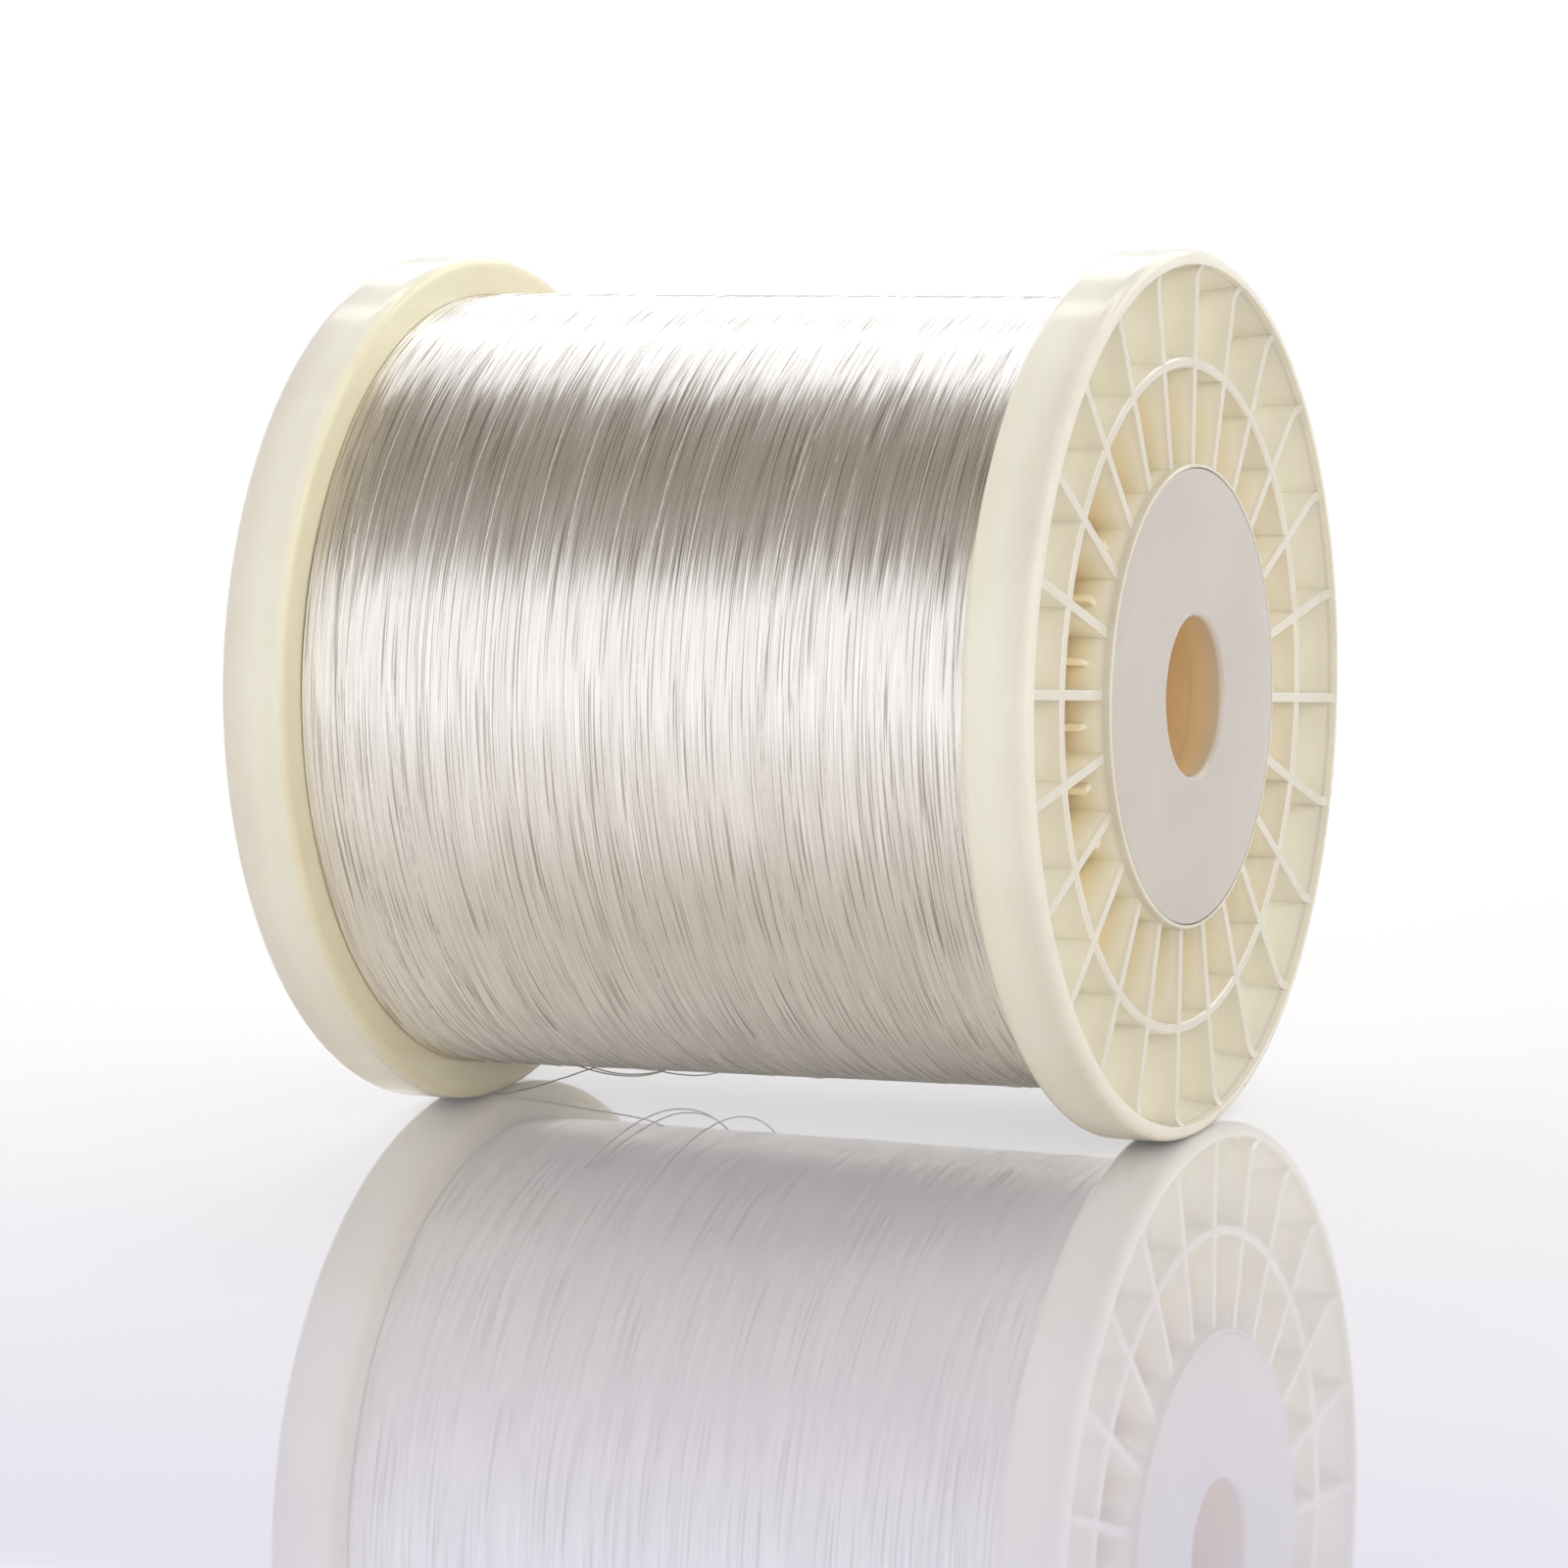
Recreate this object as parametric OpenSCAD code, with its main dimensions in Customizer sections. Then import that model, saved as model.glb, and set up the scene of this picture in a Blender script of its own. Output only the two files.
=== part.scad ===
// Flanged plastic spool, wound full of fine line.
// The spool lies on the rims of its two flanges, with its axis along X.
// The origin is the centre of the spindle bore, halfway between the end faces.

/* [Spool] */
// Length over the two end faces
spool_l = 194.5; // [180:0.5:240]
// Diameter of the flanges
flange_d = 200; // [196:1:230]
// Width of a flange at its rim
flange_w = 16; // [14:0.5:22]
// Diameter of the spindle bore
bore_d = 36; // [28:1:40]

/* [Flange] */
// Thickness of the web beside the line
web_t = 4.5; // [3:0.25:6]
// Thickness of the rim at the end face
rim_t = 3.3; // [2.5:0.1:5]
// How much thicker the rim is where it meets the web
rim_draft = 1.2; // [0.5:0.1:2.5]
// Rounding of the two outer edges of the rim
rim_round = 2.7; // [1:0.1:3]
// Fillet between the rim and the web
rim_fillet = 2.5; // [1:0.25:4]

/* [Ribs] */
// Number of long ribs on a flange
rib_n = 24; // [12:2:30]
// Turn of the long ribs about the axis
rib_turn = 6.4; // [0:0.1:15]
// Thickness of a long rib at its top
rib_t = 2.2; // [1.5:0.1:3]
// Depth of the tops of the long ribs below the end face
rib_drop = 2.1; // [1:0.1:4]
// Draft of the ribs, in degrees a side
rib_draft = 0.8; // [0.4:0.1:1.5]
// Fillet where a long rib runs up to the rim
rib_fillet = 3.6; // [2:0.1:5]
// Thickness of a short rib at its top
short_rib_t = 1.5; // [1.2:0.1:2.5]
// How far a short rib stands out from the hub collar
short_rib_l = 2.6; // [1.5:0.1:3]
// Depth of the tops of the short ribs below the end face
short_rib_drop = 5.8; // [4:0.1:8]
// Middle diameter of the stiffening ring
ring_d = 149.6; // [140:0.2:160]
// Thickness of the stiffening ring at its top
ring_t = 2.4; // [1.5:0.1:3.5]

/* [Hub] */
// Outer diameter of the hub collar
hub_d = 104.4; // [100:0.2:108]
// Wall of the hub collar
collar_t = 2.4; // [2:0.1:3]
// Thickness of the collar's lip around the hub cap
lip_t = 0.8; // [0.6:0.1:1.6]
// Gap between the hub cap and the lip
cap_gap = 0.15; // [0.05:0.05:0.3]
// Thickness of the hub cap
cap_t = 5; // [4:0.5:7]
// Rounding of the edge of the hub cap
cap_edge = 0.5; // [0.2:0.1:1]
// How far the hub cap's face falls off towards its edge
cap_fall = 0.2; // [0.05:0.05:0.4]
// Width of the band where the hub cap's face falls off
cap_fall_w = 5; // [3:0.5:8]
// Rounding of the mouth of the bore
mouth_round = 1.2; // [0.8:0.1:2.5]
// Thickness of the ledge under the hub cap
ledge_t = 3.5; // [2.5:0.5:5]
// Width of the ledge under the hub cap
ledge_w = 6; // [4:0.5:8]
// Depth of the seat of the spindle tube below the end face
tube_seat = 8; // [7:0.5:10]
// Length of the hub cap's boss below its disc
boss_l = 15; // [12:0.5:20]
// Wall of the hub cap's boss
boss_t = 4.5; // [3:0.5:6]

/* [Barrel] */
// Diameter of the barrel that the line is wound on
barrel_d = 125; // [122:1:128]
// Wall of the barrel
barrel_t = 4.1; // [3:0.1:4.5]
// Wall of the spindle tube
tube_t = 3.5; // [2.5:0.25:5]
// Gap around the ends of the barrel and of the spindle tube
seat_gap = 0.1; // [0.05:0.05:0.3]
// Length of the spigot that reaches into the barrel
spigot_l = 10; // [7:0.5:14]
// Wall of the spigot and of its floor
spigot_t = 2.6; // [2:0.1:3]

/* [Line] */
// Diameter over the line at the left flange
wound_d_left = 182.6; // [150:0.2:188]
// Diameter over the line at the right flange
wound_d_right = 179.2; // [150:0.2:188]
// Diameter of the line
line_d = 0.32; // [0.3:0.01:0.5]
// Thickness of the outer layer of turns
layer_t = 0.9; // [0.6:0.1:1.4]
// Number of bands that the outer layer is laid in
band_n = 24; // [12:1:24]
// Gap between neighbouring bands
band_gap = 0.6; // [0.5:0.1:1.5]
// Gap between the wound line and what holds it
line_gap = 0.3; // [0.2:0.05:0.5]

/* [Hidden] */
$fn = 96;

plastic = [0.93, 0.90, 0.80];
tube_plastic = [0.88, 0.80, 0.64];
cap_plastic = [0.87, 0.83, 0.79];
metal = [0.80, 0.79, 0.77];

flange_r = flange_d / 2;
bore_r = bore_d / 2;
tube_r = bore_r + tube_t;
barrel_r = barrel_d / 2;
barrel_in = barrel_r - barrel_t;
spigot_r = barrel_in - seat_gap;
spigot_in = spigot_r - spigot_t;
collar_r = hub_d / 2;
collar_in = collar_r - collar_t;
lip_in = collar_r - lip_t;
cap_r = lip_in - cap_gap;
ring_in = (ring_d - ring_t) / 2;
ring_out = (ring_d + ring_t) / 2;
rim_in = flange_r - rim_t;
cell_h = flange_w - web_t;
rib_step = 360 / rib_n;
traverse = spool_l - 2 * flange_w;
inner_face = traverse / 2;
slope = tan(rib_draft);
bite = 0.5;          // how far a rib is sunk into what it grows from
tip_chamfer = 0.45;  // chamfer along the tops of the ribs and of the ring
collar_drop = 0.2;   // the collar stops this far below the end face
eps = 0.01;

// ---------------------------------------------------------------- flange
// All flange profiles are drawn as [radius, height]: height 0 is the face
// beside the line and height flange_w is the end face.

function arc_points(centre, r, from, to, steps) =
    [for (i = [0:steps]) centre + r * [cos(from + (to - from) * i / steps),
                                       sin(from + (to - from) * i / steps)]];

module corner_cut(r) {
    difference() {
        square(r + 1);
        circle(r, $fn = 48);
    }
}

module rim_profile() {
    foot = rim_in - rim_draft;
    difference() {
        polygon(concat(
            [[flange_r, 0], [flange_r, flange_w], [rim_in, flange_w]],
            arc_points([foot - rim_fillet, web_t + rim_fillet], rim_fillet, 0, -90, 5),
            [[foot - rim_fillet, 0]]));
        translate([flange_r - rim_round, flange_w - rim_round])
            corner_cut(rim_round);
        translate([flange_r - rim_round, rim_round])
            mirror([0, 1]) corner_cut(rim_round);
    }
}

module web_profile() {
    translate([barrel_in, 0])
        square([rim_in - rim_draft - rim_fillet - barrel_in + eps, web_t]);
}

module ring_profile() {
    top = flange_w - rib_drop;
    spread = slope * cell_h;
    polygon([[ring_in - spread, web_t - bite], [ring_in, top - tip_chamfer],
             [ring_in + tip_chamfer, top], [ring_out - tip_chamfer, top],
             [ring_out, top - tip_chamfer], [ring_out + spread, web_t - bite]]);
}

// The spigot, its floor, the collar with its lip, and the ledge are one stepped cup.
module hub_profile() {
    floor_top = spigot_t - spigot_l;
    ledge_top = flange_w - cap_t;
    lip_top = flange_w - collar_drop;
    lip_chamfer = lip_t / 3;
    polygon([[collar_in, -spigot_l], [spigot_r, -spigot_l],
             [spigot_r, 0], [barrel_in + bite, 0], [barrel_in + bite, web_t],
             [spigot_in, web_t], [spigot_in, floor_top], [collar_r, floor_top],
             [collar_r, lip_top - lip_chamfer], [collar_r - lip_chamfer, lip_top],
             [lip_in, lip_top], [lip_in, ledge_top], [collar_in - ledge_w, ledge_top],
             [collar_in - ledge_w, ledge_top - ledge_t],
             [collar_in, ledge_top - ledge_t]]);
}

// Cross-section of a rib, in [across, height], with drafted sides.
module rib_section(t, top, low) {
    half = t / 2;
    wide = half + slope * (top - low);
    polygon([[-wide, low], [wide, low], [half, top - tip_chamfer],
             [half - tip_chamfer, top], [tip_chamfer - half, top],
             [-half, top - tip_chamfer]]);
}

// A rib stands where its side outline and its cross-section agree.
module rib(t, top, low, reach) {
    intersection() {
        rotate([90, 0, 90]) linear_extrude(reach) rib_section(t, top, low);
        translate([0, t, 0]) rotate([90, 0, 0]) linear_extrude(2 * t) children();
    }
}

module long_rib() {
    top = flange_w - rib_drop;
    low = spigot_t - spigot_l - bite;
    lip = flange_w - tip_chamfer;
    rise = lip - top;
    turn = acos(1 - rise / rib_fillet);
    run = rib_fillet * sin(turn);
    rib(rib_t, lip, low, flange_r)
        polygon(concat(
            [[collar_r - bite, low], [spigot_in + bite, low],
             [spigot_in + bite, web_t - bite], [rim_in + bite, web_t - bite],
             [rim_in + bite, lip]],
            arc_points([rim_in - run, top + rib_fillet], rib_fillet, turn - 90, -90, 4),
            [[collar_r - bite, top]]));
}

// Short ribs stiffen the collar halfway between the long ones.
module short_rib() {
    top = flange_w - short_rib_drop;
    low = spigot_t - spigot_l - bite;
    tip = collar_r + short_rib_l;
    rib(short_rib_t, top, low, tip + bite)
        translate([collar_r - bite, low]) square([tip - collar_r + bite, top - low]);
}

module flange() {
    color(plastic) union() {
        rotate_extrude() rim_profile();
        rotate_extrude() web_profile();
        rotate_extrude() ring_profile();
        rotate_extrude() hub_profile();
        for (i = [0:rib_n - 1]) {
            rotate([0, 0, rib_turn + i * rib_step]) long_rib();
            rotate([0, 0, rib_turn + (i + 0.5) * rib_step]) short_rib();
        }
    }
}

// ------------------------------------------------------------------- hub
module hub_cap() {
    under = flange_w - cap_t;
    seat = flange_w - tube_seat;
    edge_top = flange_w - cap_fall;
    boss_r = tube_r + seat_gap + boss_t;
    color(cap_plastic) rotate_extrude() difference() {
        union() {
            polygon([[bore_r, under], [cap_r, under], [cap_r, edge_top],
                     [cap_r - cap_edge, edge_top], [cap_r - cap_fall_w, flange_w],
                     [bore_r, flange_w]]);
            translate([bore_r, under - boss_l]) square([boss_r - bore_r, boss_l + eps]);
        }
        translate([cap_r - cap_edge, edge_top - cap_edge]) corner_cut(cap_edge);
        translate([bore_r + mouth_round, flange_w - mouth_round])
            mirror([1, 0]) corner_cut(mouth_round);
        translate([0, under - boss_l - eps])
            square([tube_r + seat_gap, seat - under + boss_l + eps]);
    }
}

// Turns a piece drawn along Z so that it sits at the right end of the spool.
module at_right_end() {
    translate([inner_face, 0, 0]) rotate([0, 90, 0]) children();
}

// The left end carries the same mouldings, turned half round.
module at_left_end() {
    rotate([0, 0, 180]) at_right_end() children();
}

module tube_along_x(outer_r, inner_r, l) {
    rotate([0, 90, 0]) rotate_extrude()
        translate([inner_r, -l / 2]) square([outer_r - inner_r, l]);
}

module left_flange() {
    at_left_end() flange();
}

module right_flange() {
    at_right_end() flange();
}

module left_hub_cap() {
    at_left_end() hub_cap();
}

module right_hub_cap() {
    at_right_end() hub_cap();
}

module barrel() {
    color(tube_plastic) tube_along_x(barrel_r, barrel_in, traverse);
}

module spindle_tube() {
    color(tube_plastic) tube_along_x(tube_r, bore_r, spool_l - 2 * tube_seat);
}

// ------------------------------------------------------------------ line
rings_a_turn = 24;
band_pitch = (traverse - 2 * line_gap + band_gap) / (band_n + 1);
band_w = band_pitch - band_gap;
band_start = -inner_face + line_gap + band_w / 2;
band_rings = band_n * rings_a_turn;
chord_dip = cos(180 / rings_a_turn);

// Radius over the line at a place along the axis.
function wound_r(x) =
    let (share = (x + inner_face) / traverse)
    (wound_d_left + (wound_d_right - wound_d_left) * share) / 2;

// Radius of the plain inner layers: clear of the flats of the outer layer.
function pack_r(x) = (wound_r(x) - layer_t) * chord_dip - line_gap;

module line_pack() {
    half = inner_face - line_gap;
    color(metal) rotate([0, 90, 0]) rotate_extrude()
        polygon([[barrel_r + line_gap, -half], [pack_r(-half), -half],
                 [pack_r(half), half], [barrel_r + line_gap, half]]);
}

// Corners of a band's flat six-sided section, as [along X, outwards].
function band_section() =
    let (w = band_w / 2, t = layer_t / 2)
    [[-w, 0], [t - w, -t], [w - t, -t], [w, 0], [w - t, t], [t - w, t]];

// One ring of the band, at a place along the winding.
function band_ring(i) =
    let (a = i * 360 / rings_a_turn,
         x = band_start + band_pitch * i / rings_a_turn,
         r = wound_r(x) - layer_t / 2)
    [for (p = band_section())
        [x + p[0], (r + p[1]) * sin(a), -(r + p[1]) * cos(a)]];

// The band's two ends run straight for one thickness of the layer.
function band_end(ring, next) =
    let (away = ring[0] - next[0])
    [for (p = ring) p + away / norm(away) * layer_t];

function band_rings_all() =
    let (rings = [for (i = [0:band_rings]) band_ring(i)],
         last = len(rings) - 1)
    concat([band_end(rings[0], rings[1])], rings,
           [band_end(rings[last], rings[last - 1])]);

// A closed tube through rings of points, all with as many corners.
module tube_through(rings) {
    sides = len(rings[0]);
    last = len(rings) - 1;
    points = [for (ring = rings) for (p = ring) p];
    walls = [for (i = [0:last - 1]) for (j = [0:sides - 1])
        let (a = i * sides + j, b = i * sides + (j + 1) % sides)
        each [[a, b, b + sides], [a, b + sides, a + sides]]];
    caps = [for (j = [1:sides - 2])
        each [[0, j + 1, j],
              [last * sides, last * sides + j, last * sides + j + 1]]];
    polyhedron(points, concat(walls, caps));
}

// Least gap between a turn of the band and the next one, between corners.
band_gap_found = min([for (i = [0:band_rings - rings_a_turn])
    let (here = band_ring(i))
    for (k = [-1:1]) for (p = here)
        for (q = band_ring(min(band_rings, i + rings_a_turn + k))) norm(p - q)]);
echo(least_gap_in_outer_layer = band_gap_found);
assert(band_gap_found > 0.4, "the bands of the outer layer touch");

module line_outer_layer() {
    color(metal) tube_through(band_rings_all());
}

// Loose strands. Their routes are lists of points along the strand.
slack_route_1 = [
    [-50.5, -25.5, -86.8], [-50.2, -23.5, -87.7], [-49.8, -20.5, -88.9],
    [-49.2, -16.5, -90.4], [-48.4, -12, -91.9], [-47.4, -7, -93.3],
    [-46.4, -2, -94.4], [-45.2, 3, -95], [-44, 8, -95.1], [-42.9, 13, -94.5],
    [-42, 18, -93.3], [-41.3, 23, -91.5], [-40.8, 27.5, -89.3], [-40.4, 31, -87.1],
    [-40.2, 33.5, -85.2], [-40.1, 35.2, -83.5], [-40, 36.5, -81.9]];
slack_route_2 = [
    [-47.5, -24.5, -87.1], [-47.2, -22.5, -88], [-46.8, -19.5, -89.2],
    [-46.2, -15.5, -90.6], [-45.4, -11, -91.9], [-44.5, -6, -93], [-43.6, -1, -93.8],
    [-42.7, 4, -94.2], [-41.8, 9, -94.2], [-41, 14, -93.5], [-40.3, 19, -92.2],
    [-39.7, 23.5, -90.5], [-39.3, 27.5, -88.4], [-39, 30.5, -86.4], [-38.9, 32.6, -84.6],
    [-38.8, 34.2, -82.8]];
slack_route_3 = [
    [-31, -23, -87.2], [-30.9, -21, -88.1], [-30.7, -18, -89.2], [-30.4, -14, -90.4],
    [-30, -9.5, -91.6], [-29.4, -4.5, -92.8], [-28.7, 0.5, -93.6], [-28, 5.5, -94],
    [-27.3, 10.5, -93.8], [-26.7, 15.5, -93], [-26.2, 20, -91.6], [-25.8, 24.5, -89.5],
    [-25.6, 28, -87.3], [-25.5, 30.3, -85.4], [-25.4, 32.1, -83.6]];
tail_route = [
    [-46.6, 15.3, -88.5], [-48.2, 14.3, -89.8], [-50.1, 13, -91], [-52.2, 11.6, -91.9],
    [-54.4, 10.1, -92.7], [-57, 8.3, -93.5], [-60, 6.3, -94.4], [-63.2, 4.2, -95.3],
    [-66.2, 2.1, -96.3], [-69, 0.1, -97.1], [-71.6, -1.6, -97.9], [-74, -3, -98.5],
    [-76.2, -4.1, -99], [-78.2, -5, -99.4], [-80.2, -5.7, -99.7], [-82, -6.3, -99.8]];

strand_sides = 8;

function unit(v) = v / norm(v);

// A ring of corners around a route's point, square to the route there.
function strand_ring(route, i) =
    let (last = len(route) - 1,
         along = unit(route[min(i + 1, last)] - route[max(i - 1, 0)]),
         side = unit(cross([0.3, 0.1, 1], along)),
         up = cross(along, side))
    [for (j = [0:strand_sides - 1])
        let (a = 360 * j / strand_sides)
        route[i] + line_d / 2 * (side * cos(a) + up * sin(a))];

module strand(route) {
    color(metal) tube_through([for (i = [0:len(route) - 1]) strand_ring(route, i)]);
}

module slack_strand_1() {
    strand(slack_route_1);
}

module slack_strand_2() {
    strand(slack_route_2);
}

module slack_strand_3() {
    strand(slack_route_3);
}

module line_tail() {
    strand(tail_route);
}

left_flange();
right_flange();
barrel();
spindle_tube();
left_hub_cap();
right_hub_cap();
line_pack();
line_outer_layer();
slack_strand_1();
slack_strand_2();
slack_strand_3();
line_tail();
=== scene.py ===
# %% [markdown]
# # A plastic spool wound full of fine metal line
# The spool lies on the rims of its two flanges. Its axis runs along X, and every length is in
# metres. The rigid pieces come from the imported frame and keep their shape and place. This lesson
# gives them their plastic, winds the line turn by turn, and sets up a plain, soft studio.

# %% Load the frame
import math
import random

import bmesh
import bpy
from mathutils import Matrix, Vector, noise


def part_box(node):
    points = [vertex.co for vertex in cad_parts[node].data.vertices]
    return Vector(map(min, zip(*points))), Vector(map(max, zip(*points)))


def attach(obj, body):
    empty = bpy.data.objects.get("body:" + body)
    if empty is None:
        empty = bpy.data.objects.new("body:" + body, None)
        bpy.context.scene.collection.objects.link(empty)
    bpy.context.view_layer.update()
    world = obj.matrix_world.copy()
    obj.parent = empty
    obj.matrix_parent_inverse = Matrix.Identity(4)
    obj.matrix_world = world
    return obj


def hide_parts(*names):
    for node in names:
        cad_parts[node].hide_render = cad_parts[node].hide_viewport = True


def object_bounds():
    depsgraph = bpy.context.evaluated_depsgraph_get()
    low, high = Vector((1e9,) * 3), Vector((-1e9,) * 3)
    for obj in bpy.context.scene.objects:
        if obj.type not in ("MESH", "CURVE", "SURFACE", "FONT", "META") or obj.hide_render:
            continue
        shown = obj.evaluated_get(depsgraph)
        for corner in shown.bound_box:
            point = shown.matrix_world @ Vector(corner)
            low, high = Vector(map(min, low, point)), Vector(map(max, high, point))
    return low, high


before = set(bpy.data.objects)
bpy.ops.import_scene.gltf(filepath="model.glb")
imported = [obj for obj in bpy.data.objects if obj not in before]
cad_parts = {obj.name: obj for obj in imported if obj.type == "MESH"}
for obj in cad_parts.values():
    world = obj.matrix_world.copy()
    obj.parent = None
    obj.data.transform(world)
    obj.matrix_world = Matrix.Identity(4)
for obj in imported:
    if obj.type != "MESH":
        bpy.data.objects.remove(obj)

MM = 0.001
cad_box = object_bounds()
print("frame:", len(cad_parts), "nodes, box", [tuple(round(v, 4) for v in c) for c in cad_box])

# %% [markdown]
# ## The camera
# A long lens from well back keeps the two flanges nearly the same size. The camera stands a
# little above the spool and to the right of it, so that it sees the ribbed end at a slant.
# Aiming it at a point and then rolling it is easier to read than a matrix.

# %% Camera
camera_place = Vector((0.5287, -1.1481, 0.1802))
camera_target = Vector((-0.0045, -0.0022, -0.0227))
camera_roll = math.radians(-2.29)

camera_data = bpy.data.cameras.new("camera")
camera_data.lens = 126.44
camera_data.sensor_width = 36
camera = bpy.data.objects.new("camera", camera_data)
bpy.context.scene.collection.objects.link(camera)
aim = (camera_target - camera_place).to_track_quat("-Z", "Y").to_matrix()
turn = Matrix.Rotation(camera_roll, 3, "Z")
camera.matrix_world = Matrix.Translation(camera_place) @ (aim @ turn).to_4x4()
bpy.context.scene.camera = camera
print("camera:", round((camera_target - camera_place).length, 3), "m from its target")

# %% [markdown]
# ## The loose strands
# Three slack turns hang in shallow loops below the winding, and the free end of the line runs
# down to the floor beside the left flange. Each one is a fixed length of stiff, springy wire, so
# it starts as a curve through a few chosen points, with a round bevel as thick as the line. The
# curve is then turned into a mesh, because a bevelled curve reports a box far larger than itself.

# %% Strand routes
line_d = 0.32 * MM

slack_route_1 = [
    (-0.0505, -0.0255, -0.0868), (-0.0502, -0.0235, -0.0877), (-0.0498, -0.0205, -0.0889),
    (-0.0492, -0.0165, -0.0904), (-0.0484, -0.0120, -0.0919), (-0.0474, -0.0070, -0.0933),
    (-0.0464, -0.0020, -0.0944), (-0.0452, 0.0030, -0.0950), (-0.0440, 0.0080, -0.0951),
    (-0.0429, 0.0130, -0.0945), (-0.0420, 0.0180, -0.0933), (-0.0413, 0.0230, -0.0915),
    (-0.0408, 0.0275, -0.0893), (-0.0404, 0.0310, -0.0871), (-0.0402, 0.0335, -0.0852),
    (-0.0401, 0.0352, -0.0835), (-0.0400, 0.0365, -0.0819)]
slack_route_2 = [
    (-0.0475, -0.0245, -0.0871), (-0.0472, -0.0225, -0.0880), (-0.0468, -0.0195, -0.0892),
    (-0.0462, -0.0155, -0.0906), (-0.0454, -0.0110, -0.0919), (-0.0445, -0.0060, -0.0930),
    (-0.0436, -0.0010, -0.0938), (-0.0427, 0.0040, -0.0942), (-0.0418, 0.0090, -0.0942),
    (-0.0410, 0.0140, -0.0935), (-0.0403, 0.0190, -0.0922), (-0.0397, 0.0235, -0.0905),
    (-0.0393, 0.0275, -0.0884), (-0.0390, 0.0305, -0.0864), (-0.0389, 0.0326, -0.0846),
    (-0.0388, 0.0342, -0.0828)]
slack_route_3 = [
    (-0.0310, -0.0230, -0.0872), (-0.0309, -0.0210, -0.0881), (-0.0307, -0.0180, -0.0892),
    (-0.0304, -0.0140, -0.0904), (-0.0300, -0.0095, -0.0916), (-0.0294, -0.0045, -0.0928),
    (-0.0287, 0.0005, -0.0936), (-0.0280, 0.0055, -0.0940), (-0.0273, 0.0105, -0.0938),
    (-0.0267, 0.0155, -0.0930), (-0.0262, 0.0200, -0.0916), (-0.0258, 0.0245, -0.0895),
    (-0.0256, 0.0280, -0.0873), (-0.0255, 0.0303, -0.0854), (-0.0254, 0.0321, -0.0836)]
tail_route = [
    (-0.0466, 0.0153, -0.0885), (-0.0482, 0.0143, -0.0898), (-0.0501, 0.0130, -0.0910),
    (-0.0522, 0.0116, -0.0919), (-0.0544, 0.0101, -0.0927), (-0.0570, 0.0083, -0.0935),
    (-0.0600, 0.0063, -0.0944), (-0.0632, 0.0042, -0.0953), (-0.0662, 0.0021, -0.0963),
    (-0.0690, 0.0001, -0.0971), (-0.0716, -0.0016, -0.0979), (-0.0740, -0.0030, -0.0985),
    (-0.0762, -0.0041, -0.0990), (-0.0782, -0.0050, -0.0994), (-0.0802, -0.0057, -0.0997),
    (-0.0820, -0.0063, -0.0998)]


# %% Strand meshes
def mesh_object(name, bm, *materials):
    """Turns a finished bmesh into an object at the origin."""
    mesh = bpy.data.meshes.new(name)
    bm.to_mesh(mesh)
    bm.free()
    for material in materials:
        mesh.materials.append(material)
    piece = bpy.data.objects.new(name, mesh)
    bpy.context.scene.collection.objects.link(piece)
    return piece


def strand_curve(name, route):
    """One smooth curve through the route's points, with a round bevel."""
    curve = bpy.data.curves.new(name, "CURVE")
    curve.dimensions = "3D"
    curve.resolution_u = 6
    curve.bevel_depth = line_d / 2
    curve.bevel_resolution = 2
    curve.use_fill_caps = True
    spline = curve.splines.new("BEZIER")
    spline.bezier_points.add(len(route) - 1)
    for knot, place in zip(spline.bezier_points, route):
        knot.co = place
        knot.handle_left_type = "AUTO"
        knot.handle_right_type = "AUTO"
    return curve


def strand_mesh(name, route):
    """A round wire along the route, as a mesh with its ends closed."""
    curve = strand_curve(name + "_curve", route)
    guide = bpy.data.objects.new(name + "_guide", curve)
    bpy.context.scene.collection.objects.link(guide)
    seen = guide.evaluated_get(bpy.context.evaluated_depsgraph_get())
    bm = bmesh.new()
    bm.from_mesh(seen.to_mesh())
    bpy.data.objects.remove(guide)
    bpy.data.curves.remove(curve)
    bmesh.ops.remove_doubles(bm, verts=bm.verts, dist=line_d / 50)
    bmesh.ops.recalc_face_normals(bm, faces=bm.faces)
    for face in bm.faces:
        face.smooth = len(face.verts) == 4
    return mesh_object(name, bm)


def route_length(route):
    """The sum of the straight steps along the route."""
    return sum((Vector(b) - Vector(a)).length for a, b in zip(route, route[1:]))


loose_strands = []
for name, node, route, far_end, lay in (
        ("slack_loop_1", "slack_strand_1", slack_route_1, "object", "hanging"),
        ("slack_loop_2", "slack_strand_2", slack_route_2, "object", "hanging"),
        ("slack_loop_3", "slack_strand_3", slack_route_3, "object", "hanging"),
        ("free_tail", "line_tail", tail_route, "bare", "loose")):
    strand = strand_mesh(name, route)
    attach(strand, "root")
    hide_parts(node)
    loose_strands.append(strand)
    print(name, "length", round(route_length(route), 4), "m")

# %% [markdown]
# ## Shared effects
# A few helpers come first, so that a node and all that feeds it fit in one call. Moulded plastic
# and drawn wire both show small random changes of tone. A node group with named inputs holds
# that effect once, and each material places it with its own scale and strength.


# %% Node helpers
white = (1, 1, 1)


def new_material(name):
    """A node material, with its node tree and main shader at hand."""
    material = bpy.data.materials.new(name)
    material.use_nodes = True
    tree = material.node_tree
    return material, tree, tree.nodes["Principled BSDF"]


def new_group(name, inputs, outputs):
    """A node group with these sockets, and what comes in through them at hand."""
    tree = bpy.data.node_groups.new(name, "ShaderNodeTree")
    for side, sockets in (("INPUT", inputs), ("OUTPUT", outputs)):
        for socket_name, kind in sockets.items():
            tree.interface.new_socket(name=socket_name, in_out=side,
                                      socket_type="NodeSocket" + kind)
    return tree, tree.nodes.new("NodeGroupInput").outputs


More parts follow.
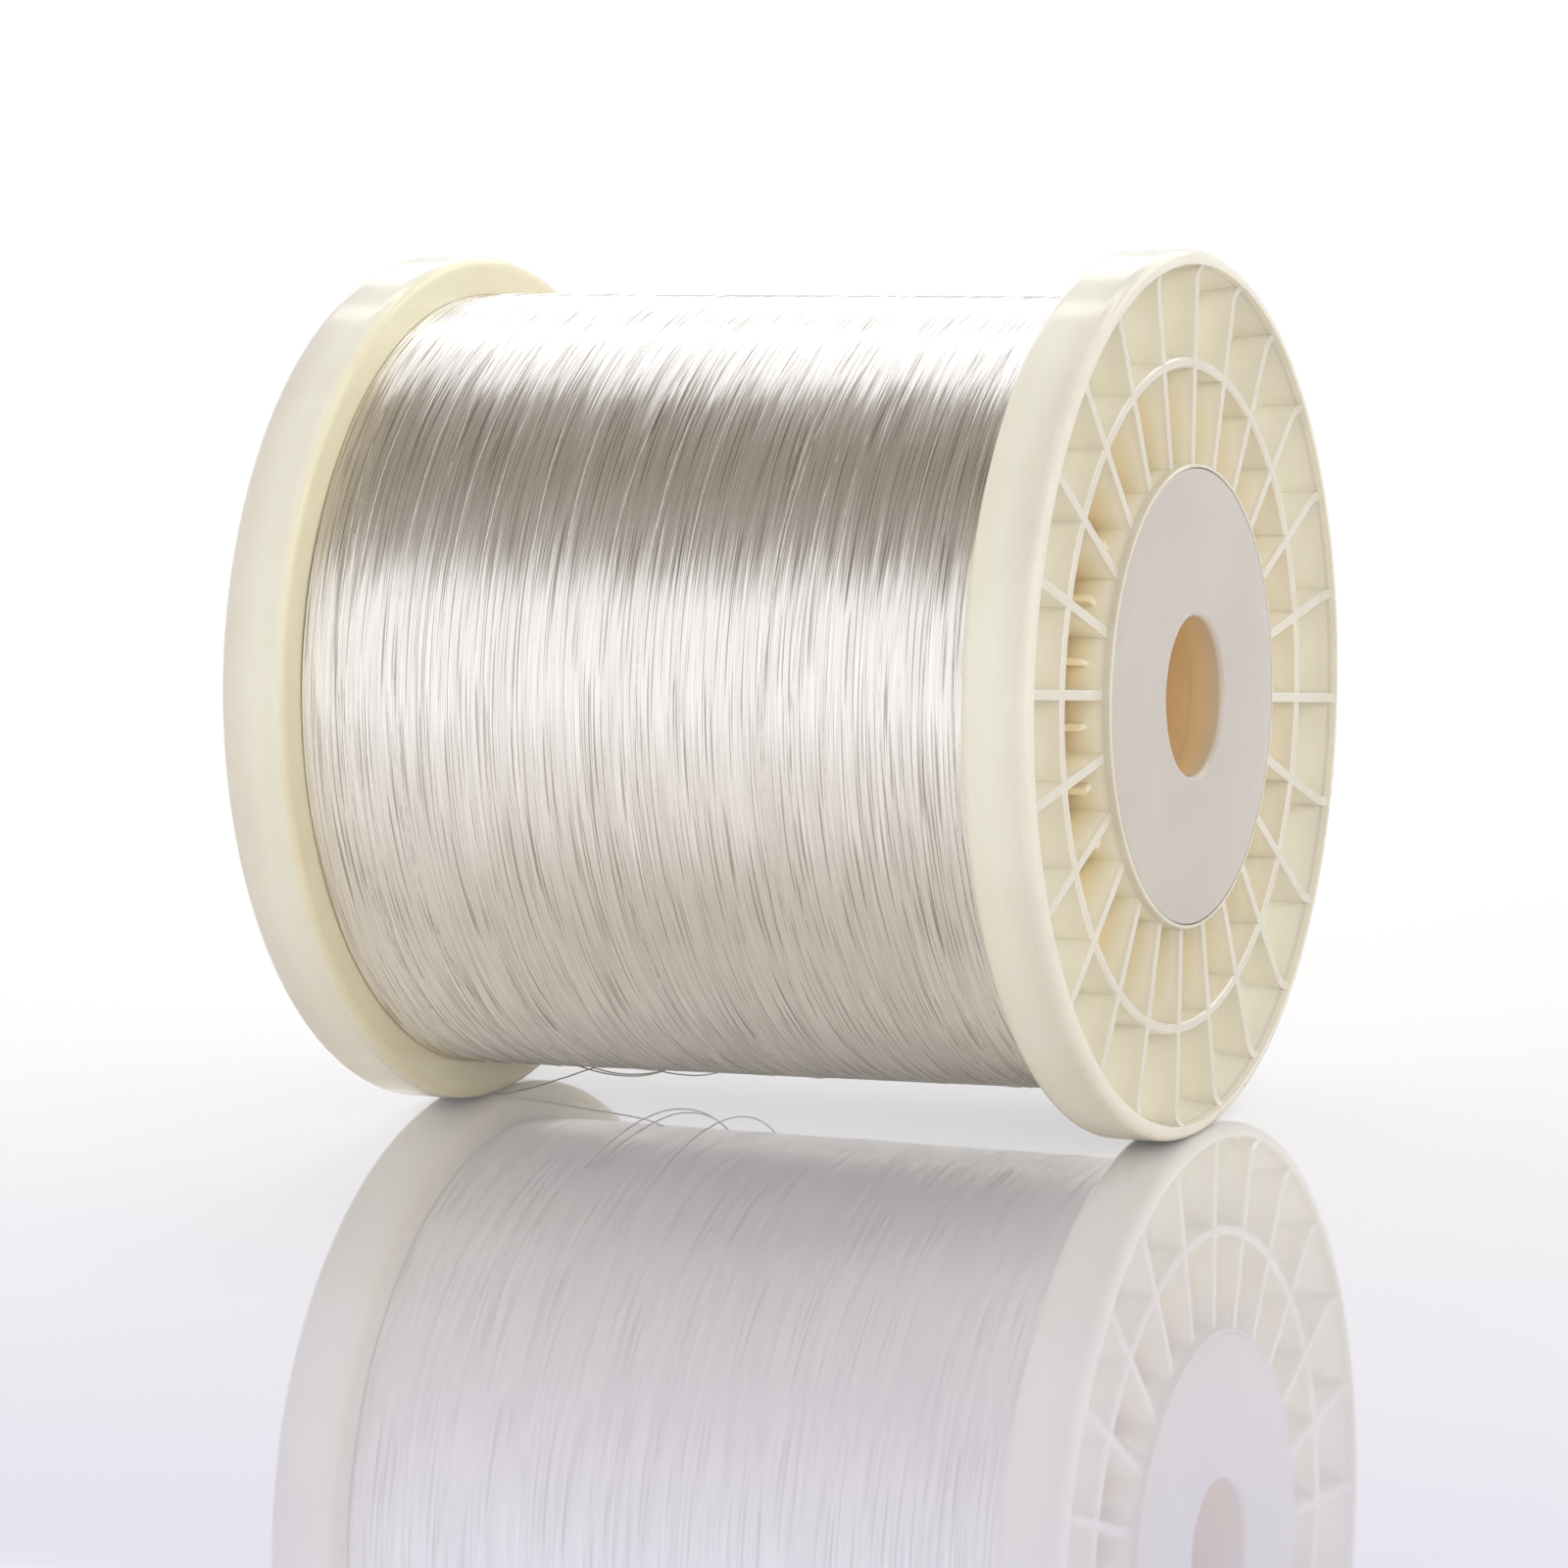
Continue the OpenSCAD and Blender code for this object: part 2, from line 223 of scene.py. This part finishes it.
def feed(tree, socket, value):
    """Links a socket to a node's output, or gives it a plain value or an opaque colour."""
    if isinstance(value, bpy.types.NodeSocket):
        tree.links.new(value, socket)
    elif socket.type == "RGBA":
        socket.default_value = (*value, 1)
    else:
        socket.default_value = value


def set_node(tree, node, **values):
    """Each value goes to the node's setting of that name, or else feeds its socket of that name."""
    for key, value in values.items():
        if hasattr(node, key):
            setattr(node, key, value)
        else:
            feed(tree, node.inputs[key.replace("_", " ")], value)


def add_node(tree, kind, **values):
    """A new node with its settings and sockets set."""
    node = tree.nodes.new(kind)
    set_node(tree, node, **values)
    return node


def calculate(tree, operation, *terms, kind="ShaderNodeMath"):
    """One step of arithmetic. Each term is a node's output or a plain value."""
    step = add_node(tree, kind, operation=operation)
    for socket, term in zip(step.inputs, terms):
        feed(tree, socket, term)
    return step.outputs[0]


def calculate_vector(tree, operation, *terms):
    """One step of arithmetic on vectors or colours."""
    return calculate(tree, operation, *terms, kind="ShaderNodeVectorMath")


def scale_vector(tree, vector, factor):
    """Multiplies a vector or a colour by one factor."""
    step = add_node(tree, "ShaderNodeVectorMath", operation="SCALE", Vector=vector, Scale=factor)
    return step.outputs[0]


def map_range(tree, value, **limits):
    """Carries a value from one range over to another, and holds it at the ends."""
    return add_node(tree, "ShaderNodeMapRange", Value=value, **limits).outputs["Result"]


def color_ramp(tree, factor, *stops):
    """Goes from colour to colour. Each stop is a position and a colour."""
    ramp = add_node(tree, "ShaderNodeValToRGB", Fac=factor)
    elements = ramp.color_ramp.elements
    for _ in stops[2:]:
        elements.new(1.0)
    for element, (position, color) in zip(elements, stops):
        element.position = position
        element.color = (*color, 1)
    return ramp.outputs["Color"]


def color_mix(tree, factor, first, second):
    """Goes from the first colour to the second. Each is a node's output or a plain colour."""
    mix = add_node(tree, "ShaderNodeMix", data_type="RGBA", Factor=factor)
    color_in = [socket for socket in mix.inputs if socket.type == "RGBA"]
    for socket, color in zip(color_in, (first, second)):
        feed(tree, socket, color)
    return next(socket for socket in mix.outputs if socket.type == "RGBA")


# %% Uneven tone
def tone_group():
    """Lightens and darkens a colour by noise, and gives the noise as a height."""
    tree, given = new_group(
        "uneven_tone",
        inputs={"Vector": "Vector", "Color": "Color", "Amount": "Float", "Scale": "Float"},
        outputs={"Color": "Color", "Height": "Float"})
    cloud = add_node(tree, "ShaderNodeTexNoise", Vector=given["Vector"], Scale=given["Scale"],
                     Detail=3.0, Roughness=0.6).outputs["Fac"]
    centred = calculate(tree, "SUBTRACT", cloud, 0.5)
    gain = calculate(tree, "MULTIPLY_ADD", centred, given["Amount"], 1.0)
    shade = scale_vector(tree, given["Color"], gain)
    add_node(tree, "NodeGroupOutput", Color=shade, Height=cloud)
    return tree


uneven_tone = tone_group()
print("shared group:", uneven_tone.name)

# %% [markdown]
# ## Bright drawn wire
# Each turn is a mirror-like wire, but there are hundreds of them side by side, so the winding
# reflects like brushed metal: sharp round the drum and smeared along it. Noise squeezed along X
# and stretched round the drum gives neighbouring wires different tones, without any seam. Two
# more noises of that shape do the rest: one lays painted shade along the grooves between wires,
# and one leans each wire's normal a little up or down, which frays the edges of the reflected
# bands. Each streak is a fraction of a millimetre wide and about three centimetres long.


# %% Streaks along the wires
def drawn_out(tree, place, scale):
    """Coordinates drawn out round the drum: how many streaks a metre of X, Y and Z holds."""
    return add_node(tree, "ShaderNodeMapping", Vector=place, Scale=scale).outputs["Vector"]


def streaks(tree, place, scale, detail):
    """Noise on drawn out coordinates."""
    cloud = add_node(tree, "ShaderNodeTexNoise", Vector=drawn_out(tree, place, scale),
                     Scale=1.0, Detail=detail, Roughness=0.6)
    return cloud.outputs["Fac"]


def leaned_normal(tree, noise_value, amount):
    """Turns the normal up or down round the drum by a noise, the same way for a whole streak."""
    lean = calculate(tree, "MULTIPLY_ADD", noise_value, amount, -amount / 2)
    normal = add_node(tree, "ShaderNodeNewGeometry").outputs["Normal"]
    round_drum = calculate_vector(tree, "CROSS_PRODUCT", normal, (1, 0, 0))
    push = scale_vector(tree, round_drum, lean)
    total = calculate_vector(tree, "ADD", normal, push)
    return calculate_vector(tree, "NORMALIZE", total)


# %% Wire material
wire_color = (0.93, 0.903, 0.875)
# The colour of the painted shade in the grooves between wires.
groove_shade_color = (0.60, 0.57, 0.55)
tone_streaks = (2400, 36, 36)
groove_shade_streaks = (3200, 40, 40)
lean_streaks = (2200, 36, 36)
lean_range = 0.45


def wire_material():
    """Mirror-like wire with uneven tone, painted shade in the grooves between wires, and leaning
    normals.
    """
    material, tree, shader = new_material("bright_wire")
    place = add_node(tree, "ShaderNodeTexCoord").outputs["Object"]
    tone = add_node(tree, "ShaderNodeGroup", node_tree=uneven_tone, Color=wire_color,
                    Vector=drawn_out(tree, place, tone_streaks), Amount=0.7, Scale=1.0)
    # Painted shade: thin dark streaks where the grooves between wires lie in shade.
    groove_shade_noise = streaks(tree, place, groove_shade_streaks, 0.0)
    groove_shade = color_ramp(tree, groove_shade_noise, (0.60, white), (0.72, groove_shade_color))
    shade = calculate_vector(tree, "MULTIPLY", tone.outputs["Color"], groove_shade)
    leans = streaks(tree, place, lean_streaks, 2.0)
    bump = add_node(tree, "ShaderNodeBump", Strength=0.4, Distance=0.05 * MM,
                    Height=tone.outputs["Height"], Normal=leaned_normal(tree, leans, lean_range))
    set_node(tree, shader, Metallic=1.0, Roughness=0.14, Base_Color=shade,
             Normal=bump.outputs["Normal"])
    return material


bright_wire = wire_material()


# %% Loose wire material
# The hanging loops get a far darker colour than the winding: painted shade, for the shade under the
# spool.
hanging_shade_color = (0.42, 0.39, 0.36)


def loose_wire_material(name, color):
    """The same wire where it lies free, a little duller, so that it stands out from the winding.
    Where it gets a darker colour, that colour is painted shade.
    """
    material, tree, shader = new_material(name)
    place = add_node(tree, "ShaderNodeTexCoord").outputs["Object"]
    tone = add_node(tree, "ShaderNodeGroup", node_tree=uneven_tone, Color=color, Vector=place,
                    Amount=0.5, Scale=400.0)
    bump = add_node(tree, "ShaderNodeBump", Strength=0.3, Distance=0.03 * MM,
                    Height=tone.outputs["Height"])
    set_node(tree, shader, Metallic=1.0, Roughness=0.38, Base_Color=tone.outputs["Color"],
             Normal=bump.outputs["Normal"])
    return material


loose_wire = loose_wire_material("loose_wire", wire_color)
# The hanging loops carry painted shade in their darker colour.
shaded_hanging_wire = loose_wire_material("shaded_hanging_wire", hanging_shade_color)
for strand in loose_strands:
    strand.data.materials.append(shaded_hanging_wire)
print("wire materials:", bright_wire.name, loose_wire.name, shaded_hanging_wire.name)

# %% [markdown]
# ## The winding
# The real drum holds some five hundred turns side by side in its outer layer. Turning one long
# zigzag profile round the axis gives every turn its own ridge. The valleys are marked sharp, so
# each turn shades like a round wire. Three noises, for wires, bundles and slow waves, then move
# the surface in and out by a few hundredths of a millimetre.

# %% Winding sizes
_, outer_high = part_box("line_outer_layer")
_, barrel_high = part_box("barrel")
wound_end = outer_high.x
wound_r_left = 91.3 * MM
wound_r_right = 89.6 * MM
core_r = barrel_high.z + 0.3 * MM
turn_n = 500
round_steps = 96
turn_pitch = 2 * wound_end / turn_n
groove_depth = 0.09 * MM
settled = 0.15 * MM
print("winding radius:", wound_r_left, "m at the left,", wound_r_right, "m at the right")


def wound_r(x):
    """Radius over the winding at a place along the axis."""
    share = (x + wound_end) / (2 * wound_end)
    return wound_r_left + (wound_r_right - wound_r_left) * share


def unevenness(place):
    """How far the winding stands in or out at a place: wires, bundles of wires and waves."""
    x, y, z = place
    wire = noise.noise(Vector((x * 2600, y * 60, z * 60)))
    bundle = noise.noise(Vector((x * 520 + 7, y * 40, z * 40)))
    wave = noise.noise(Vector((x * 90 + 31, y * 14, z * 14)))
    return (0.06 * wire + 0.012 * bundle + 0.05 * wave) * MM - settled


# %% Winding mesh
def wound_turns():
    """A zigzag profile, with one ridge for each turn, spun round the axis."""
    bm = bmesh.new()
    half_pitch = turn_pitch / 2
    profile = [bm.verts.new((-wound_end, 0, core_r))]
    for i in range(2 * turn_n + 1):
        x = -wound_end + i * half_pitch
        cut = groove_depth if i % 2 == 0 else 0
        profile.append(bm.verts.new((x, 0, wound_r(x) - cut)))
    profile.append(bm.verts.new((wound_end, 0, core_r)))
    edges = [bm.edges.new((a, b)) for a, b in zip(profile, profile[1:] + profile[:1])]
    bmesh.ops.spin(bm, geom=profile + edges, cent=(0, 0, 0), axis=(1, 0, 0), dvec=(0, 0, 0),
                   angle=2 * math.pi, steps=round_steps, use_merge=True)
    bmesh.ops.recalc_face_normals(bm, faces=bm.faces)
    for face in bm.faces:
        face.smooth = True
    for edge in bm.edges:
        a, b = (v.co for v in edge.verts)
        runs_round = abs(a.x - b.x) < half_pitch / 2
        if runs_round:
            step = round((a.x + wound_end) / half_pitch)
            edge.smooth = step % 2 == 1
    for vert in bm.verts:
        r = math.hypot(vert.co.y, vert.co.z)
        if r > core_r + MM:
            stretch = (r + unevenness(vert.co)) / r
            vert.co.y *= stretch
            vert.co.z *= stretch
    return mesh_object("wound_turns", bm, bright_wire)


winding = wound_turns()
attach(winding, "root")
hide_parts("line_outer_layer", "line_pack")
print("winding:", turn_n, "turns,", len(winding.data.polygons), "faces")

# %% [markdown]
# ## Strands that cross the winding
# A few turns of the last layer lie over their neighbours at a slight angle. Each one is a small
# ring spun part of the way round with a sideways step, and its ends dive between the turns.

# %% Crossing strands
crossing_n = 64
crossing_sides = 5
crossing_step = math.radians(6)
crossing_sink = 0.35 * MM
random.seed(11)


def crossing_strand(bm, x, start, sweep, drift, lift):
    """One thin wire that goes sweep radians round the winding while it drifts along it."""
    steps = max(6, round(sweep / crossing_step))
    first = len(bm.verts)
    ring = bmesh.ops.create_circle(bm, segments=crossing_sides, radius=line_d / 2,
                                   matrix=Matrix.Translation((x, 0, wound_r(x))))["verts"]
    edges = list({e for v in ring for e in v.link_edges})
    bmesh.ops.rotate(bm, verts=ring, cent=(x, 0, wound_r(x)),
                     matrix=Matrix.Rotation(math.pi / 2, 3, "X"))
    bmesh.ops.rotate(bm, verts=ring, cent=(0, 0, 0), matrix=Matrix.Rotation(start, 3, "X"))
    bmesh.ops.spin(bm, geom=ring + edges, cent=(0, 0, 0), axis=(1, 0, 0),
                   dvec=(drift / steps, 0, 0), angle=sweep, steps=steps)
    bm.verts.ensure_lookup_table()
    for vert in bm.verts[first:]:
        along = (math.atan2(-vert.co.y, vert.co.z) - start) % (2 * math.pi) / sweep
        along = min(along, 1.0) if along < 1.5 else 0.0
        place = x + drift * along
        rise = (lift + crossing_sink) * math.sin(math.pi * along) ** 0.5 - crossing_sink
        r = math.hypot(vert.co.y, vert.co.z)
        spot = Vector((place, vert.co.y, vert.co.z))
        stretch = (r + wound_r(place) - wound_r(x) + unevenness(spot) + rise) / r
        vert.co.y *= stretch
        vert.co.z *= stretch


def crossing_strands():
    """All the crossing wires in one piece, each with its ends closed."""
    bm = bmesh.new()
    for _ in range(crossing_n):
        x = random.uniform(-0.95, 0.95) * wound_end
        sweep = math.radians(random.uniform(50, 160))
        drift = random.choice((-1, 1)) * random.uniform(0.5, 5.0) * MM * sweep
        if abs(x + drift) > 0.98 * wound_end:
            drift = -drift
        lift = random.uniform(0.04, 0.14) * MM
        crossing_strand(bm, x, random.uniform(0, 2 * math.pi), sweep, drift, lift)
    open_edges = [e for e in bm.edges if e.is_boundary]
    bmesh.ops.holes_fill(bm, edges=open_edges, sides=crossing_sides)
    bmesh.ops.recalc_face_normals(bm, faces=bm.faces)
    for face in bm.faces:
        face.smooth = len(face.verts) == 4
    return mesh_object("crossing_strands", bm, loose_wire)


crossing = crossing_strands()
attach(crossing, "root")
print("crossing strands:", crossing_n, "wires,", len(crossing.data.polygons), "faces")

# %% [markdown]
# ## Translucent plastic
# The flanges are a cream plastic that light enters and leaves again. Subsurface scattering
# softens its shading, and its reach is kept short, because the walls are thin. The pockets by the
# hub and the bore are painted amber deeper down, a painted glow for light that has gone through
# more plastic, and the shallow cells are painted paler, painted light where the ribs shade them.
# The depth below the end face and the distance from the axis drive that painted change of tone, in
# one group that every plastic here shares. The same group finds the tops of the ribs, painted
# darker as painted shade because they catch the most light, and the flange's side that faces the
# winding, painted warmer as a painted glow for light coming through the thin web.


# %% Painted depth light
def painted_depth_light_group():
    """Mask grows away from the end face and near the axis. Ridge marks what reaches that face."""
    tree, given = new_group(
        "painted_depth_light",
        inputs={"Vector": "Vector", "Face": "Float", "Bottom": "Float", "Pale Radius": "Float",
                "Amber Radius": "Float", "Rim Radius": "Float", "Least": "Float"},
        outputs={"Mask": "Float", "Ridge": "Float"})
    split = add_node(tree, "ShaderNodeSeparateXYZ", Vector=given["Vector"])
    along = calculate(tree, "ABSOLUTE", split.outputs["X"])
    flat = calculate_vector(tree, "MULTIPLY", given["Vector"], (0, 1, 1))
    from_axis = add_node(tree, "ShaderNodeVectorMath", operation="LENGTH",
                         Vector=flat).outputs["Value"]
    depth = map_range(tree, along, From_Min=given["Face"], From_Max=given["Bottom"])
    inward = map_range(tree, from_axis, interpolation_type="SMOOTHSTEP", To_Min=given["Least"],
                       From_Min=given["Pale Radius"], From_Max=given["Amber Radius"])
    near_face = calculate(tree, "GREATER_THAN", along, given["Face"])
    within_rim = calculate(tree, "LESS_THAN", from_axis, given["Rim Radius"])
    add_node(tree, "NodeGroupOutput", Mask=calculate(tree, "MULTIPLY", depth, inward),
             Ridge=calculate(tree, "MULTIPLY", near_face, within_rim))
    return tree


painted_depth_light = painted_depth_light_group()
print("shared group:", painted_depth_light.name)


# %% Plastic materials
rim_inside = 96.5 * MM
inner_side_x = 82.5 * MM
scatter_reach = 0.8 * MM


def plastic_material(name, surface, shallow_painted_light, deep_painted_glow, ridge_painted_shade, side_painted_glow, reach, radii, least):
    """Reach is where the painted change of tone starts and ends along X, radii where it is palest
    and deepest.
    """
    face, bottom = (x * MM for x in reach)
    pale_r, amber_r = (r * MM for r in radii)
    material, tree, shader = new_material(name)
    place = add_node(tree, "ShaderNodeTexCoord").outputs["Object"]
    # This mask paints the light by depth: an amber painted glow deeper in the pockets and the bore.
    depth = add_node(tree, "ShaderNodeGroup", node_tree=painted_depth_light, Vector=place, Least=least,
                     Face=face, Bottom=bottom, Rim_Radius=rim_inside, Pale_Radius=pale_r,
                     Amber_Radius=amber_r)
    # Painted light: just below the end face the cells are paler, where the ribs shade them; further
    # down the painted glow turns amber.
    depth_painted_color = color_ramp(tree, depth.outputs["Mask"], (0, surface), (0.12, shallow_painted_light), (1, deep_painted_glow))
    # Painted glow: the side of the flange that faces the winding is warmer, for light coming
    # through the thin web.
    inner_side = add_node(tree, "ShaderNodeGroup", node_tree=painted_depth_light, Vector=place, Least=1.0,
                          Face=inner_side_x, Bottom=inner_side_x - 0.5 * MM)
    with_side_glow = color_mix(tree, inner_side.outputs["Mask"], depth_painted_color, side_painted_glow)
    # Painted shade: the rib tops at the end face are darker, because they catch the most light.
    with_ridge_shade = color_mix(tree, depth.outputs["Ridge"], with_side_glow, ridge_painted_shade)
    tone = add_node(tree, "ShaderNodeGroup", node_tree=uneven_tone, Color=with_ridge_shade, Vector=place,
                    Amount=0.25, Scale=24.0)
    bump = add_node(tree, "ShaderNodeBump", Strength=0.05, Distance=MM,
                    Height=tone.outputs["Height"])
    set_node(tree, shader, Roughness=0.14, IOR=1.5, Subsurface_Weight=0.5,
             Subsurface_Radius=(1.0, 1.0, 1.0), Subsurface_Scale=scatter_reach,
             Base_Color=tone.outputs["Color"], Normal=bump.outputs["Normal"])
    return material


# Amber is partly the tube's own tone and partly painted glow, deep in the bore and the pockets.
amber = (0.93, 0.70, 0.40)
hub_pink = (0.61, 0.56, 0.515)
# Cream plastic: paler cells, amber pockets, a warmer side facing the winding and darker rib tops,
# all painted light and shade.
cream_plastic = plastic_material(
    "cream_plastic", surface=(0.86, 0.82, 0.725), shallow_painted_light=(0.985, 0.945, 0.82),
    deep_painted_glow=(0.94, 0.74, 0.43), ridge_painted_shade=(0.77, 0.73, 0.635), side_painted_glow=(0.99, 0.88, 0.65),
    reach=(95, 83), radii=(78, 60), least=0.2)
# In the caps the bore turns amber with depth, a painted glow.
cap_plastic = plastic_material(
    "cap_plastic", surface=hub_pink, shallow_painted_light=(0.74, 0.65, 0.54), deep_painted_glow=amber, ridge_painted_shade=hub_pink,
    side_painted_glow=amber, reach=(97, 92), radii=(21, 18.5), least=0.0)
# The tube is amber all over and a little darker and warmer with depth, a painted glow.
tube_plastic = plastic_material(
    "tube_plastic", surface=amber, shallow_painted_light=(0.93, 0.69, 0.38), deep_painted_glow=(0.92, 0.66, 0.34),
    ridge_painted_shade=amber, side_painted_glow=amber, reach=(86, 70), radii=(80, 70), least=1.0)

# %% Dress the frame's plastic
for node_name, material in (("left_flange", cream_plastic), ("right_flange", cream_plastic),
                            ("left_hub_cap", cap_plastic), ("right_hub_cap", cap_plastic),
                            ("barrel", tube_plastic), ("spindle_tube", tube_plastic)):
    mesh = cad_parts[node_name].data
    mesh.materials.clear()
    mesh.materials.append(material)
    print(node_name, len(mesh.polygons), "faces")

# %% [markdown]
# ## The studio
# The spool stands on a glossy white sheet, which mirrors it at a low angle. Brightness comes from
# all round the horizon and from behind, and only the part of the sky above and in front of the
# spool is dark. A winding mirrors that dark part as a band along its upper front. One large soft
# box behind the spool and a narrow one above it draw the white bands along the top, and a third
# at the right lights the ribbed end. Close in front the camera sees the sheet in a darker pale
# lavender, painted shade where the spool's shadow falls forward. Towards the left and the back a
# painted glow whitens the sheet, but only for the camera and in mirrors, so it doesn't light the
# spool from below.

# %% Floor
floor_size = 60.0
floor_near_y = -0.33
floor_far_y = 0.15
floor_right_x = 0.2
floor_left_x = -0.15
# The painted glow of the sheet, for the camera and in mirrors.
glow_near = 0.02
glow_far = 0.16
glow_color = (0.94, 0.94, 1.0)
# The painted shade of the sheet close in front, as the camera sees it.
near_painted_shade = (0.74, 0.74, 0.92)
warm_white = (0.87, 0.835, 0.79)


def floor_material():
    """A glossy white sheet, which the camera sees as white far off and as painted shade, pale
    lavender, close by.
    """
    material, tree, shader = new_material("white_sheet")
    place = add_node(tree, "ShaderNodeTexCoord").outputs["Object"]
    split = add_node(tree, "ShaderNodeSeparateXYZ", Vector=place)
    rays = add_node(tree, "ShaderNodeLightPath")
    away = map_range(tree, split.outputs["Y"], From_Min=floor_near_y, From_Max=floor_far_y)
    # Painted shade: close in front the camera sees the sheet darker, in pale lavender.
    seen = color_ramp(tree, away, (0, near_painted_shade), (1, white))
    sheet_color = color_mix(tree, rays.outputs["Is Camera Ray"], warm_white, seen)
    # Painted glow: an emission for the camera and in mirrors, stronger towards the left and the
    # back.
    to_left = map_range(tree, split.outputs["X"], From_Min=floor_right_x, From_Max=floor_left_x)
    to_back = map_range(tree, away, To_Min=glow_near, To_Max=glow_far)
    looking = calculate(tree, "MAXIMUM", rays.outputs["Is Camera Ray"],
                        rays.outputs["Is Glossy Ray"])
    glow = calculate(tree, "MULTIPLY", calculate(tree, "MULTIPLY", to_left, to_back), looking)
    set_node(tree, shader, Roughness=0.03, IOR=1.5, Coat_Weight=1.0, Coat_Roughness=0.03,
             Base_Color=sheet_color, Emission_Color=glow_color, Emission_Strength=glow)
    return material


bm = bmesh.new()
bmesh.ops.create_grid(bm, x_segments=1, y_segments=1, size=floor_size / 2,
                      matrix=Matrix.Translation((0, 0, cad_box[0].z)))
floor = mesh_object("floor", bm, floor_material())
print("floor:", floor_size, "m square, at z", round(cad_box[0].z, 3))

# %% Sky
dark_from = math.sin(math.radians(27))
dark_to = math.sin(math.radians(47))
dark_sky = (0.30, 0.26, 0.22)
world = bpy.data.worlds.new("studio")
bpy.context.scene.world = world
world.use_nodes = True
sky = world.node_tree
rays = add_node(sky, "ShaderNodeLightPath")
direction = add_node(sky, "ShaderNodeTexCoord").outputs["Generated"]
part = add_node(sky, "ShaderNodeSeparateXYZ", Vector=direction)


def sky_edge(axis, **limits):
    """A soft change over a range of directions along an axis, from 0 to 1 unless told."""
    return map_range(sky, part.outputs[axis], interpolation_type="SMOOTHSTEP", **limits)


overhead = sky_edge("Z", From_Min=dark_from, From_Max=dark_to)
in_front = sky_edge("Y", From_Min=0.26, From_Max=0.09)
dark_part = calculate(sky, "MULTIPLY", overhead, in_front)
sky_color = color_ramp(sky, dark_part, (0, white), (1, dark_sky))
background = calculate(sky, "MAXIMUM", rays.outputs["Is Camera Ray"],
                       rays.outputs["Is Glossy Ray"])
behind = sky_edge("Y", From_Min=-0.7, From_Max=0.7, To_Min=1.4, To_Max=0.8)
strength = add_node(sky, "ShaderNodeMix", data_type="FLOAT", Factor=background, A=behind, B=1.0)
set_node(sky, sky.nodes["Background"], Color=sky_color, Strength=strength.outputs["Result"])
print("sky:", len(sky.nodes), "nodes")


# %% Lamps
lamp_distance = 1.6


def soft_box(name, place, width, height, radiance):
    """A rectangular area lamp that faces the spool and looks this bright."""
    lamp = bpy.data.lights.new(name, "AREA")
    lamp.shape = "RECTANGLE"
    lamp.size = width
    lamp.size_y = height
    lamp.energy = radiance * math.pi * width * height
    box = bpy.data.objects.new(name, lamp)
    bpy.context.scene.collection.objects.link(box)
    aim = (-Vector(place)).to_track_quat("-Z", "Y").to_matrix().to_4x4()
    box.matrix_world = Matrix.Translation(place) @ aim
    print(name, "radiance", radiance)


def at(azimuth, elevation):
    """A place round the spool: azimuth 0 is straight in front of it, on the -Y side."""
    a = math.radians(azimuth)
    e = math.radians(elevation)
    outward = Vector((math.sin(a) * math.cos(e), -math.cos(a) * math.cos(e), math.sin(e)))
    return outward * lamp_distance


soft_box("back_box", at(180, 31), 2.8, 0.56, 1.1)
soft_box("top_strip", at(180, 58), 2.2, 0.2, 1.9)
soft_box("side_box", at(80, 15), 1.4, 1.0, 1.0)

bpy.context.scene.view_settings.view_transform = "Standard"
